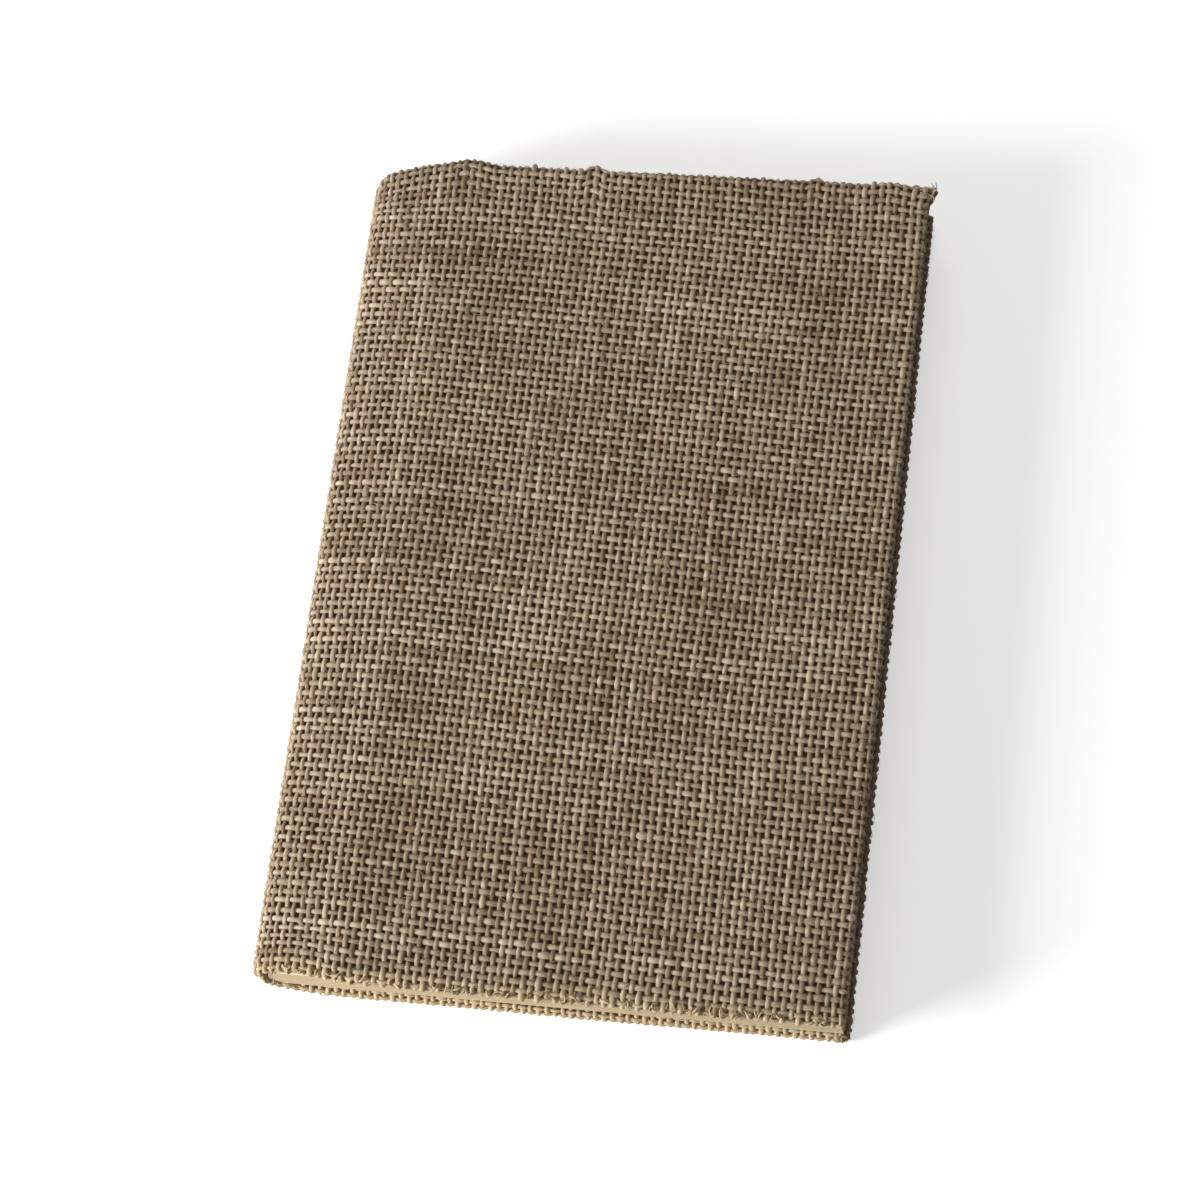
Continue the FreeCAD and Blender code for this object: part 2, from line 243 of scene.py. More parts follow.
def line_object(name, points):
    """A curve object with straight runs between close points, given in millimetres."""
    curve = bpy.data.curves.new(name, "CURVE")
    curve.dimensions = "3D"
    spline = curve.splines.new("POLY")
    spline.points.add(len(points) - 1)
    for point, place in zip(spline.points, points):
        point.co = (*(c * mm for c in place), 1)
    made = linked(name, curve)
    made.hide_render = True
    return made


def rounded_edge(at, radius, run):
    """Over an edge, down its face and in underneath: (out, up) points, with up 0 on the outer face."""
    over = arc(at - radius, -radius, radius, 90, 0, 8)
    under = arc(at - radius, radius - cover_edge, radius, 0, -90, 8)
    return over + under + [(at - run, -cover_edge)]


spine_steps, roll_steps = 24, 16
spine_start, spine_end = 180 + math.degrees(lead / spine_radius), 90 + math.degrees(seam_angle)
girth = arc(spine_x, middle, spine_radius, spine_start, spine_end, spine_steps)
girth += arc(roll_x, top - roll_radius, roll_radius, spine_end, 90, roll_steps)[1:]
girth += [(x, top + z) for x, z in rounded_edge(x_fore, fore_rounding, turn_in)]
girth_line = line_object("girth_line", [(x, 0, z) for x, z in girth])
over_head = rounded_edge(head, head_rounding, turn_in)
side_line = line_object("side_line", [(0, 0, 0)] + [(0, y, z) for y, z in over_head])

to_fore = girth[:spine_steps + roll_steps + 2]
fore_u = sum(math.dist(a, b) for a, b in zip(to_fore, to_fore[1:])) - lead
head_v = head - head_rounding
print(f"the cloth turns at the fore-edge at u {fore_u:.1f} mm and at the head at v {head_v:.1f} mm")

# %% [markdown]
# ## Wrapping
# The wrap is a tree of its own, so that threads, backing and loose fibres can all use it. It reads a
# point's flat place (u, v, h) and puts it on the book. Three things differ from a plain box: the fold
# at the head is thinner round the spine than over a board, the spine's corners are rounded where the
# cloth was pulled in, and the back is the front turned over.

# %% How the cloth departs from a plain box, in millimetres
spine_fold, fold_changes = (3.2, 2.3), (4.0, 7.5)   # depth of the head's fold, between two places along u
corner_round = 4.0              # the cloth is rounded at the spine's corners
drawn_in = 2.8                  # and drawn in beside them,
drawn_width = 20.0              # over this width from the spine
drawn_length = 14.0             # and this length from the head's turn,
tail_share = 0.25               # but less at the tail
ear_reach = 2.0                 # the front's head corner was pulled out into an ear
floor_gap = 0.005               # no thread goes into the floor

# Where the front's edges wander: place along u, half width and reach. Bulges go out, dips go in.
head_bulges = [(30.2, 8.5, 1.3), (63.3, 3.4, 1.5), (120.9, 3.0, 0.8), (139.8, 7.0, 0.8)]
tail_dips = [(16.0, 16.0, 1.5)]


# %% Where the cloth gets painted shade and painted light, and where it is frayed and pulled out
def span(start, end):
    """Two places in millimetres, as metres. A mask rises or falls between them."""
    return start * mm, end * mm


# the painted shade on the fore-edge and the painted light on the tail edge rise and fall between the next
# two pairs
fore_shade_rises, fore_shade_falls = span(x_fore - 1.9, x_fore - 1.1), span(top - 1.5, top - 0.6)
tail_light_rises, tail_light_falls = span(head_v - 2.4, head_v + 0.8), span(head_v + 5.6, head_v + 6.6)
fray_rises, fray_falls = span(head_v - 1.5, head_v + 2.0), span(head_v + 2.5, head_v + 5.0)
ear_round, ear_up = span(fore_u - 5.0, fore_u + 1.5), span(head_v - 4.0, head_v + 1.5)
more_light_on_back = 0.6              # the back's tail edge gets this much more painted light


def painted_shade_and_light_masks(tree, given, x, z, v):
    """Painted shade on the fore-edge and painted light on the tail edge, by the name of their attribute."""
    at_fore = ramp(tree, x, *fore_shade_rises) * ramp(tree, z, *fore_shade_falls, 1.0, 0.0)
    past_tail = v * -1.0
    at_tail = ramp(tree, past_tail, *tail_light_rises) * ramp(tree, past_tail, *tail_light_falls, 1.0, 0.0)
    at_tail = at_tail * (given["Side"].below(0.0) * more_light_on_back + 1.0)
    return {"fore_painted_shade": at_fore, "tail_painted_light": at_tail}


# %% Drawn in at the head and the tail
def drawn_back(tree, given, from_spine, x, v):
    """How far the ends of the cloth are drawn in, and where the front's head is."""
    near_end = ramp(tree, v.size(), (head_v - drawn_length) * mm, head_v * mm, smooth=True)
    reach = ramp(tree, (x * -1.0 + x_spine * mm) / given["Corner Round"] + 1.0, 0.0, 0.98)
    corner = ((reach * reach * -1.0 + 1.0).math("SQRT") * -1.0 + 1.0) * given["Corner Round"]
    tug = ramp(tree, x, x_spine * mm, (x_spine + drawn_width) * mm, drawn_in * mm, 0.0, smooth=True)
    pull = (corner + tug) * near_end * (v.above(0.0) * (1 - tail_share) + tail_share)
    front_end = near_end * given["Side"].above(0.0)
    front_head, front_tail = front_end * v.above(0.0), front_end * v.below(0.0)
    for places, where, way in ((head_bulges, front_head, -1.0), (tail_dips, front_tail, 1.0)):
        for place, half_width, reach_out in places:
            off = (from_spine - place * mm).size()
            shift = ramp(tree, off, 0.0, half_width * mm, reach_out * mm, 0.0, smooth=True)
            pull = pull + shift * where * way
    return pull, front_head


# %% The wrapping tree
def make_wrap_tree():
    tree, given = new_tree("Wrap on the case", object=["Girth Line", "Side Line"],
                           number=["Side", "Corner Round"])
    u, v, h = parts_of(tree, place_now(tree))
    from_spine = u * given["Side"]

    def sample(curve, length):
        shape = add(tree, "GeometryNodeObjectInfo", curve).outputs["Geometry"]
        node = add(tree, "GeometryNodeSampleCurve", shape, None, length, mode="LENGTH",
                   use_all_curves=False)
        return node.outputs["Position"], node.outputs["Tangent"]

    on_girth, girth_way = sample(given["Girth Line"], from_spine + lead * mm)
    outward = vector_math(tree, "NORMALIZE", vector_math(tree, "CROSS_PRODUCT", girth_way, (0, 1, 0)))
    on_side, side_way = sample(given["Side Line"], v.size())
    _, side_y, side_z = parts_of(tree, on_side)
    _, way_y, way_z = parts_of(tree, side_way)
    girth_x, _, girth_z = parts_of(tree, on_girth)

    fold = ramp(tree, from_spine, *span(*fold_changes), *span(*spine_fold))
    fold = fold.at_least(girth_z - (top - cover_edge) * mm) / (cover_edge * mm)
    rise = side_z * fold + h * way_y
    pull, front_head = drawn_back(tree, given, from_spine, girth_x, v)
    y = v.math("SIGN") * (side_y - h * way_z - pull)
    lifted = vector_math(tree, "SCALE", outward)
    join(tree, rise, lifted.inputs["Scale"])
    x, _, z = parts_of(tree, vector_math(tree, "ADD", on_girth, lifted))
    ear = ramp(tree, from_spine, *ear_round, smooth=True) * front_head * ramp(tree, v, *ear_up, smooth=True)
    x = x + ear * ear_reach * mm

    marked = given["Geometry"]
    # masks for the painted shade on the fore-edge and the painted light on the tail edge
    for name, mask in painted_shade_and_light_masks(tree, given, x, z, v).items():
        marked = note(tree, marked, name, mask)
    marked = note(tree, marked, "flat_place", place_now(tree), "FLOAT_VECTOR")
    z = ((z - middle * mm) * given["Side"] + middle * mm).at_least(floor_gap * mm)
    wrapped = add(tree, "GeometryNodeSetPosition", marked, None, vector(tree, x, y, z))
    return finish_tree(tree, wrapped, given["Material"])


wrap_tree = make_wrap_tree()

# %% [markdown]
# ## Thread over thread
# Plain weave is the simplest cloth: each thread goes over one and under the next, and its neighbour
# does the opposite. One tree makes a whole set of parallel threads. Two points for each crossing are
# enough, because a thread lies flat on top of the one it crosses and dives between. Jute is uneven,
# so the threads wander, swell and thin, and both sets read the same noise so that they still cross
# where they should.

# %% Where the threads lie and where they are cut, in millimetres
level_depth, upright_depth = 0.58, 0.62     # of a thread's middle below the cloth's face
mitre_round, mitre_up = 1.2, 1.6            # the corners are cut away this far past the two turns,
mitre_slant = 6.0                           # and the threads there end on a slant
spine_trim = 14.5                           # up to this far round the spine the turn-in is cut short,
thread_trim, backing_trim = 5.2, 4.6        # and the threads and the backing end this far past the turn


def either(given, level, standing):
    """One thing for threads that run round the book, another for threads that run up it."""
    return given["Upright"] * (standing - level) + level


def wandered(tree, given, u, v):
    """A place on the cloth, shifted by fine and by slow noise."""
    seed, wander, drift = given["Seed"], given["Wander"], given["Drift"]
    fine_u = noise(tree, vector(tree, u * 330.0, v * 24.0, seed))
    fine_v = noise(tree, vector(tree, u * 24.0, v * 330.0, seed + 7.0))
    slow_u = noise(tree, vector(tree, u * 11.0, v * 16.0, seed + 3.0))
    slow_v = noise(tree, vector(tree, u * 13.0, v * 11.0, seed + 5.0))
    return (u + fine_u * wander + slow_u * drift,
            v + fine_v * wander + slow_v * drift - u * given["Skew"])


def sprung_out(tree, given, thread, v, shifted_v):
    """How far upright threads stand off at the head, and at the front's tail."""
    from_middle, at_head = shifted_v.size(), shifted_v.above(0.0)
    over_edge = ramp(tree, from_middle, *fray_rises) * ramp(tree, from_middle, *fray_falls, 1.0, 0.0)
    loose = Value(tree, fill(tree, add(tree, "FunctionNodeRandomValue", data_type="FLOAT"), Min=0.0,
                             Max=1.0, ID=thread * 13.0 + v.above(0.0), Seed=given["Seed"]))
    at_tail = (at_head * -1.0 + 1.0) * given["Side"].above(0.0)
    tail_lift = loose * loose * given["Tail Fray"] * at_tail
    head_lift = loose.math("POWER", 8.0) * given["Head Fray"] * at_head
    return over_edge * (tail_lift + head_lift) * given["Upright"]


# %% Lines for the threads
def thread_lines(tree, given):
    """One line for each thread, with two points for each crossing."""
    index = Value(tree, tree.nodes.new("GeometryNodeInputIndex"))
    each = given["Crossings"] * 2.0
    thread = ((index + 0.5) / each).floor()
    step = index - thread * each
    crossing = ((step + 0.5) / 2.0).floor()
    between = step - crossing * 2.0         # 0 on a crossing, 1 halfway to the next
    along = given["First Crossing"] + (crossing + between * 0.5) * given["Crossing Pitch"]
    across = given["First Thread"] + thread * given["Thread Pitch"]
    over = (crossing + thread + given["Parity"]).math("MODULO", 2.0) * -2.0 + 1.0
    u, v = either(given, along, across) * given["Side"], either(given, across, along)
    shifted_u, shifted_v = wandered(tree, given, u, v)
    height = over * (between * -1.0 + 1.0) * given["Crimp"]
    height = height + sprung_out(tree, given, thread, v, shifted_v)
    height = height + either(given, -level_depth * mm, -upright_depth * mm)
    place = vector(tree, shifted_u, shifted_v, height)
    spots = add(tree, "GeometryNodePoints", given["Threads"] * each, place)
    spots = note(tree, spots, "thread_number", thread + given["Seed"] * 101.0)
    spots = note(tree, spots, "along", along)
    return add(tree, "GeometryNodePointsToCurves", spots, thread, step)


def trimmed(tree, given, curves):
    """The lines without their ends at the mitred corners, at the spine's ends and past the start."""
    u, v, _ = parts_of(tree, place_now(tree))
    from_spine, beyond = u * given["Side"], v.size()
    mitred = (from_spine - beyond).above((fore_u - head_v - mitre_slant) * mm) \
        * beyond.above((head_v + mitre_up) * mm) * from_spine.above((fore_u + mitre_round) * mm)
    bare = from_spine.below(spine_trim * mm) * beyond.above((head_v + thread_trim) * mm)
    gone = (mitred + bare + from_spine.below(given["Start"])).above(0.5)
    return add(tree, "GeometryNodeDeleteGeometry", curves, gone, domain="POINT")


# %% From lines to spun threads
def spun(tree, given, curves):
    """Tubes on the lines, wider than thick, with swellings, lumps, slubs and hairs."""
    curves = add(tree, "GeometryNodeSetCurveNormal", curves, mode="Z_UP")
    curves = note(tree, curves, "centre", place_now(tree), "FLOAT_VECTOR")
    tubes = tubes_on(tree, curves, 6, given["Thickness"] / 2.0)

    def named(name, kind="FLOAT"):
        node = add(tree, "GeometryNodeInputNamedAttribute", name, data_type=kind)
        return node.outputs["Attribute"]

    centre, seed = named("centre", "FLOAT_VECTOR"), given["Seed"]
    off_u, off_v, off_h = parts_of(tree, vector_math(tree, "SUBTRACT", place_now(tree), centre))
    run, number = Value(tree, named("along")), Value(tree, named("thread_number"))
    swell = noise(tree, vector(tree, run * 60.0, number * 3.7, seed), detail=2.0) * 1.1
    lumps = noise(tree, vector(tree, run * 420.0, number * 9.1, seed + 11.0)) * 0.7
    slubs = noise(tree, vector(tree, run * 95.0, number * 5.3, seed + 17.0))
    slubs = ramp(tree, slubs, 0.2, 0.3, 0.0, 0.5, smooth=True)
    hairs = noise(tree, place_now(tree), scale=1500.0, detail=0.0) * 0.6
    share = swell + lumps + slubs + hairs + 1.0
    wide = share * given["Width"] / given["Thickness"]
    thick = ramp(tree, share, 0.0, 2.0, 0.45, 1.55)
    sized = vector(tree, off_u * either(given, thick, wide), off_v * either(given, wide, thick),
                   off_h * thick)
    on_thread = vector(tree, run, either(given, off_v, off_u), off_h)
    tubes = note(tree, tubes, "thread_place", on_thread, "FLOAT_VECTOR")
    tubes = add(tree, "GeometryNodeSetPosition", tubes, None, vector_math(tree, "ADD", centre, sized))
    rise = parts_of(tree, place_now(tree))[2] / mm
    tubes = note(tree, tubes, "rise", rise)
    return add(tree, "GeometryNodeRemoveAttribute", tubes, None, "centre")


# %% The thread tree
def make_thread_tree():
    tree, given = new_tree(
        "Woven threads", count=["Threads", "Crossings", "Parity"],
        number=["First Thread", "Thread Pitch", "First Crossing", "Crossing Pitch", "Upright", "Side",
                "Start", "Width", "Thickness", "Crimp", "Wander", "Drift", "Skew", "Head Fray",
                "Tail Fray", "Seed"])
    tubes = spun(tree, given, trimmed(tree, given, thread_lines(tree, given)))
    return finish_tree(tree, tubes, given["Material"])


thread_tree = make_thread_tree()

# %% [markdown]
# ## Finishes
# Colours are written as they would be read off a screen and turned into the linear numbers that the
# shader wants. Effects that several finishes share are node groups that only put out colours and
# masks; the shader itself stays in each material.

# %% Colour and material helpers
def paint(red, green, blue):
    """A screen colour, 0 to 255 for each part, as linear numbers."""
    parts = [c / 255 for c in (red, green, blue)]
    return tuple(c / 12.92 if c <= 0.04045 else ((c + 0.055) / 1.055) ** 2.4 for c in parts) + (1.0,)


def new_material(name, roughness, **shader_inputs):
    """A material with a Principled shader; numbers that are the same all over go on its own sockets."""
    material = bpy.data.materials.new(name)
    material.use_nodes = True
    tree = material.node_tree
    fill(tree, tree.nodes["Principled BSDF"], Roughness=roughness, **shader_inputs)
    return material, tree


def mix(tree, share, first, second):
    """One colour turned into another by share."""
    node = add(tree, "ShaderNodeMix", data_type="RGBA")
    for socket, value in zip((node.inputs[0], node.inputs[6], node.inputs[7]), (share, first, second)):
        join(tree, value, socket)
    return node.outputs[2]


def attribute(tree, name):
    return Value(tree, add(tree, "ShaderNodeAttribute", attribute_name=name).outputs["Fac"])


def attribute_vector(tree, name):
    return add(tree, "ShaderNodeAttribute", attribute_name=name).outputs["Vector"]


def finished(material, colour, height, depth, strength=1.0):
    """Give a material its colour and a fine relief, with the relief's depth in metres."""
    tree = material.node_tree
    relief = fill(tree, add(tree, "ShaderNodeBump"), Strength=strength, Distance=depth, Height=height)
    fill(tree, tree.nodes["Principled BSDF"], Base_Color=colour, Normal=relief)
    return material


# %% Effects that several finishes share
def new_effect(name, inputs, outputs):
    """An empty shader group with named inputs, set to the values given, and named outputs."""
    tree = bpy.data.node_groups.new(name, "ShaderNodeTree")
    for label, value in inputs.items():
        kind = "NodeSocketVector" if isinstance(value, tuple) else "NodeSocketFloat"
        tree.interface.new_socket(label, in_out="INPUT", socket_type=kind).default_value = value
    for label in outputs:
        tree.interface.new_socket(label, in_out="OUTPUT", socket_type="NodeSocketFloat")
    given, out = tree.nodes.new("NodeGroupInput"), tree.nodes.new("NodeGroupOutput")
    return tree, {label: Value(tree, given.outputs[label]) for label in inputs}, out


def placed(tree, effect, **values):
    """Put a shared effect into a material with its own values; returns its outputs by name."""
    node = fill(tree, add(tree, "ShaderNodeGroup", node_tree=effect), **values)
    return {s.name: Value(tree, s) for s in node.outputs}


# %% Spun fibre
def make_spun_fibre():
    """Fibres twisted into a thread: a tone along the strands, rare flecks, painted light and painted shade,
    and a relief.
    """
    tree, given, out = new_effect("Spun fibre", {"Twist": 900.0, "Tone": 0.5},
                                  ("Shade", "Brown Fleck", "Pale Fleck", "Rubbed", "Dusk", "Relief"))
    run, across, up = parts_of(tree, attribute_vector(tree, "thread_place"))
    number = attribute(tree, "thread_number")
    turned = add(tree, "ShaderNodeVectorRotate", vector(tree, 0.0, across, up), (0, 0, 0), (1, 0, 0),
                 run * given["Twist"], rotation_type="AXIS_ANGLE")
    _, ply_a, ply_b = parts_of(tree, turned)
    strands = vector(tree, run * 260.0 + number * 5.3, ply_a * 9000.0, ply_b * 9000.0)
    fibres = noise(tree, strands, detail=3.0)
    lengths = noise(tree, vector(tree, run * 90.0, number * 7.7, 0.0), detail=2.0)
    tone = noise(tree, vector(tree, number * 17.3, number * 3.1, 2.0))
    fleck = noise(tree, vector(tree, run * 160.0, number * 12.9, 9.0), detail=1.0)
    on_cloth = attribute_vector(tree, "flat_place")
    patch = noise(tree, on_cloth, 22.0, 2.0)
    stain = noise(tree, on_cloth, 95.0, 1.0)
    shade = fibres * 1.6 + lengths * 1.3 + tone * 1.25 + patch * 0.7 + given["Tone"]
    # painted shade: a thread is painted darker the deeper it lies in the weave
    low = ramp(tree, attribute(tree, "rise"), -0.75, 0.15, 0.58, 0.0, smooth=True)
    fore_painted_shade, tail_painted_light = attribute(tree, "fore_painted_shade"), attribute(tree, "tail_painted_light")
    # the tail edge is painted lighter and the fore-edge darker, and the painted shade in the hollows is
    # weaker on the tail edge
    fill(tree, out, Shade=ramp(tree, shade, 0.0, 1.0),
         Brown_Fleck=ramp(tree, fleck, 0.17, 0.24, 0.0, 0.5) + ramp(tree, stain, 0.21, 0.3, 0.0, 0.35),
         Pale_Fleck=ramp(tree, fleck, -0.17, -0.25, 0.0, 0.5), Rubbed=tail_painted_light * 0.55,
         Dusk=(low * (tail_painted_light * -0.75 + 1.0)).at_least(fore_painted_shade * 0.8), Relief=fibres)
    return tree


# %% Mottle
def make_mottle():
    """Cloud and fine grain for paper, card and glue, sized in features to a metre."""
    sizes = {"Place": (0.0, 0.0, 0.0), "Cloud Size": 60.0, "Grain Size": 2600.0}
    tree, given, out = new_effect("Mottle", sizes, ("Cloud", "Grain"))
    for label in ("Cloud", "Grain"):
        join(tree, noise(tree, given["Place"], given[f"{label} Size"], 4.0), out.inputs[label])
    return tree


spun_fibre, mottle = make_spun_fibre(), make_mottle()


# %% Jute thread
def make_jute(name, dark, light, **values):
    material, tree = new_material(name, 0.82, Sheen_Weight=0.12, Sheen_Roughness=0.5)
    fibre = placed(tree, spun_fibre, **values)
    colour = mix(tree, fibre["Shade"], paint(*dark), paint(*light))
    # the flecks are the jute's own colour; the last two tints are painted light on the tail edge and painted
    # shade in the hollows and on the fore-edge
    for effect, tint in {"Brown Fleck": (124, 74, 46), "Pale Fleck": (230, 215, 188),
                         "Rubbed": (208, 184, 144), "Dusk": (84, 59, 29)}.items():
        colour = mix(tree, fibre[effect], colour, paint(*tint))
    return finished(material, colour, fibre["Relief"], 0.00025, 0.8)


jute = {"upright": make_jute("jute_upright", (117, 91, 55), (209, 188, 160), Tone=0.48),
        "level": make_jute("jute_level", (121, 95, 59), (217, 197, 170), Tone=0.52)}
loose_jute = make_jute("jute_fibre", (150, 128, 94), (226, 207, 172), Twist=0.0)
worn_jute = make_jute("jute_loop", (144, 116, 80), (212, 186, 146), Twist=0.0)


# %% Cloth backing
def make_backing():
    material, tree = new_material("glued_backing", 0.9)
    paper = placed(tree, mottle, Place=attribute_vector(tree, "flat_place"), Cloud_Size=120.0,
                   Grain_Size=900.0)
    colour = mix(tree, ramp(tree, paper["Cloud"], -0.3, 0.3), paint(92, 62, 36), paint(128, 92, 58))
    # painted light: the backing is painted lighter along the tail edge
    colour = mix(tree, attribute(tree, "tail_painted_light") * 0.7, colour, paint(188, 156, 108))
    return finished(material, colour, paper["Grain"], 0.0001)


backing = make_backing()

# %% [markdown]
# ## Weaving the two covers
# The front half runs from just past the middle of the spine to under the fore-edge, and the back
# half is woven on from there. Each half is two meshes, the threads that run up the book and the
# threads that run round it.

# %% Meshes and trees
def flat_object(name, verts=(), faces=()):
    """A mesh object from points in millimetres."""
    mesh = bpy.data.meshes.new(name)
    mesh.from_pydata([tuple(c * mm for c in v) for v in verts], [], faces)
    return linked(name, mesh)


def modified(shape, tree, **inputs):
    """Run one geometry tree on an object, with inputs given by name."""
    modifier = shape.modifiers.new(tree.name, "NODES")
    modifier.node_group = tree
    sockets = {s.name: s.identifier for s in tree.interface.items_tree if s.in_out == "INPUT"}
    for label, value in inputs.items():
        modifier[sockets[label.replace("_", " ")]] = value


def baked(name, shape):
    """The result of the object's modifiers as a plain mesh object; the first object is removed."""
    bpy.context.view_layer.update()
    depsgraph = bpy.context.evaluated_depsgraph_get()
    mesh = bpy.data.meshes.new_from_object(shape.evaluated_get(depsgraph), preserve_all_data_layers=True,
                                           depsgraph=depsgraph)
    mesh.name = name
    bpy.data.objects.remove(shape)
    mesh.calc_loop_triangles()
    print(f"{name}: {len(mesh.loop_triangles)} triangles")
    return linked(name, mesh)


def wrap(shape, side, material):
    modified(shape, wrap_tree, Girth_Line=girth_line, Side_Line=side_line, Side=float(side),
             Corner_Round=corner_round * mm, Material=material)


# Which way each half of the cloth faces: the back is the front turned over.
sides = {"front": 1, "back": -1}


def hang_on_hinge(piece):
    """The piece's place is baked into its mesh."""
    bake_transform(piece)


on_backing = {"front": [], "back": []}


def grow(name, cover, tree, material, **inputs):
    """What a tree makes on one half of the cloth, wrapped on the case, with its place baked into its mesh.
    """
    shape = flat_object(name)
    modified(shape, tree, Side=float(sides[cover]), Material=material, **inputs)
    wrap(shape, sides[cover], material)
    piece = baked(name, shape)
    hang_on_hinge(piece)
    on_backing[cover].append(piece)


# %% Weave
rows = {"upright": 78, "level": 104}
pitch = {"upright": 2.03, "level": 2.33}    # from one thread to the next, in millimetres
width = {"upright": 1.32, "level": 1.34}
first = {"upright": pitch["upright"] / 2, "level": -(rows["level"] - 1) / 2 * pitch["level"]}
thread_sizes = {"Thickness": 0.92 * mm, "Crimp": 0.38 * mm, "Wander": 1.1 * mm, "Drift": 3.0 * mm,
                "Skew": 0.03, "Head_Fray": 0.7 * mm, "Tail_Fray": 0.9 * mm, "Seed": 4.0,
                "Start": -0.3 * pitch["upright"] * mm}


def thread_inputs(kind, side):
    """Inputs of the thread tree for the upright or the level threads of one half."""
    other = "level" if kind == "upright" else "upright"
    longer = int(side == 1 and kind == "level")     # they reach one crossing past the spine's middle
    return {"Threads": rows[kind], "Crossings": rows[other] + longer,
            "First_Thread": first[kind] * mm, "Thread_Pitch": pitch[kind] * mm,
            "First_Crossing": (first[other] - longer * pitch[other]) * mm,
            "Crossing_Pitch": pitch[other] * mm, "Width": width[kind] * mm,
            "Parity": int(side < 0) + int(kind == "level") + longer, "Upright": float(kind == "upright")}


for cover, side in sides.items():
    for kind, finish in jute.items():
        grow(f"{cover}_{kind}_threads", cover, thread_tree, finish,
             **thread_inputs(kind, side), **thread_sizes)

# %% [markdown]
# ## Loose fibres
# Jute is hairy: short fibres stand out of the threads all over. Real hair would be too heavy, so a
# third tree scatters short curved fibres on the flat cloth, and the same wrap puts them on the book.

# %% The fibre tree
root_depth = 0.25               # fibres lie this far below the cloth's face before they arch, in millimetres


def make_fibre_tree():
    tree, given = new_tree("Loose fibres", count=["Fibres", "Seed"],
                           number=["Side", "Round From", "Round To", "Up From", "Up To", "Length",
                                   "Thickness", "Loft", "Stand"])
    index, points_each = Value(tree, tree.nodes.new("GeometryNodeInputIndex")), 5
    fibre = ((index + 0.5) / points_each).floor()
    step = index - fibre * points_each
    from_centre = step - 2.0

    def chance(low, high, number):
        return Value(tree, fill(tree, add(tree, "FunctionNodeRandomValue", data_type="FLOAT"),
                                Min=low, Max=high, ID=fibre, Seed=given["Seed"] + number))

    length = given["Length"] * chance(0.35, 1.0, 1)
    turn = chance(0.0, 6.283, 2) + from_centre * chance(-0.35, 0.35, 3)
    ahead = length * from_centre / 4.0
    round_book = chance(given["Round From"], given["Round To"], 4) * given["Side"]
    u = round_book + ahead * turn.math("COSINE")
    v = chance(given["Up From"], given["Up To"], 5) + ahead * turn.math("SINE")
    arch = (from_centre * from_centre / -4.0 + 1.0) * given["Loft"] * chance(0.2, 1.0, 6)
    stand = step / 4.0 * given["Stand"] * chance(0.3, 1.0, 7)
    place = vector(tree, u, v, arch + stand - root_depth * mm)
    points = add(tree, "GeometryNodePoints", given["Fibres"] * points_each, place)
    curves = add(tree, "GeometryNodePointsToCurves", points, fibre, step)
    tubes = tubes_on(tree, curves, 3, given["Thickness"] / 2.0)
    tubes = note(tree, tubes, "thread_place", place_now(tree), "FLOAT_VECTOR")
    return finish_tree(tree, tubes, given["Material"])


fibre_tree = make_fibre_tree()


# %% Scatter the fibres
def scatter(name, cover, material, across, up, **values):
    """A set of fibres on one cover, between two places round the book and two places up it."""
    grow(name, cover, fibre_tree, material, Round_From=across[0] * mm, Round_To=across[1] * mm,
         Up_From=up[0] * mm, Up_To=up[1] * mm, **values)


for cover, seed in (("front", 21), ("back", 19)):
    scatter(f"{cover}_loose_fibres", cover, loose_jute, (3.0, fore_u + 3.5), (-head_v - 3.5, head_v + 3.5),
            Fibres=2200, Length=5.0 * mm, Thickness=0.09 * mm, Loft=0.75 * mm, Stand=0.0, Seed=seed)
scatter("front_tail_loops", "front", worn_jute, (12.0, fore_u), (-head_v - 2.6, -head_v - 0.6),
        Fibres=80, Length=3.4 * mm, Thickness=0.5 * mm, Loft=1.2 * mm, Stand=0.0, Seed=5)
scatter("front_corner_tuft", "front", loose_jute, (fore_u - 1.5, fore_u + 2.0), (head_v - 1.5, head_v + 2.4),
        Fibres=16, Length=2.4 * mm, Thickness=0.26 * mm, Loft=0.0, Stand=1.8 * mm, Seed=8)

# %% [markdown]
# ## The backing
# Open-weave cloth can't be glued on its own, because the glue would come through. It is backed with
# thin brown paper first, and that is what shows dark in the holes. The backing is cut flat as a grid,
# with close stops only where it has to bend, and wrapped by the same tree as the threads. Its four
# corners are cut away, as a binder mitres the cloth before turning it in.

# %% A flat pattern from two lists of stops
def stops(*runs):
    """Places along a line, from (start, end, steps) runs that follow each other."""
    places = [runs[0][0]]
    for start, end, steps in runs:
        places += [start + (end - start) * (i + 1) / steps for i in range(steps)]
    return places


def grid_quads(lines, width):
    """The quads of a grid whose points are listed line by line."""
    corners = [i * width + j for i in range(lines - 1) for j in range(width - 1)]
    return [(a, a + width, a + width + 1, a + 1) for a in corners]


def flat_pattern(name, across, up, height, keep):
    """A flat grid; keep(u, v) says which of its quads stay."""
    verts = [(u, v, height) for u in across for v in up]
    faces = []
    for quad in grid_quads(len(across), len(up)):
        low, high = verts[quad[0]], verts[quad[2]]
        if keep((low[0] + high[0]) / 2, (low[1] + high[1]) / 2):
            faces.append(quad)
    used = sorted({n for face in faces for n in face})
    new = {n: k for k, n in enumerate(used)}
    return flat_object(name, [verts[n] for n in used], [tuple(new[n] for n in face) for face in faces])


# %% The backing's stops and cuts
hem = 0.3       # the backing ends this far before the cloth does


def turned_in(turn, rounding, steps):
    """Runs of stops from an edge's turn, down its face and in, to the end of the turn-in."""
    quarter = rounding * math.pi / 2
    inside = turn + 2 * quarter + (cover_edge - 2 * rounding)
    end = inside + turn_in - rounding - hem
    return (turn, turn + quarter, 4), (turn + quarter, inside, steps), (inside, end, 2)
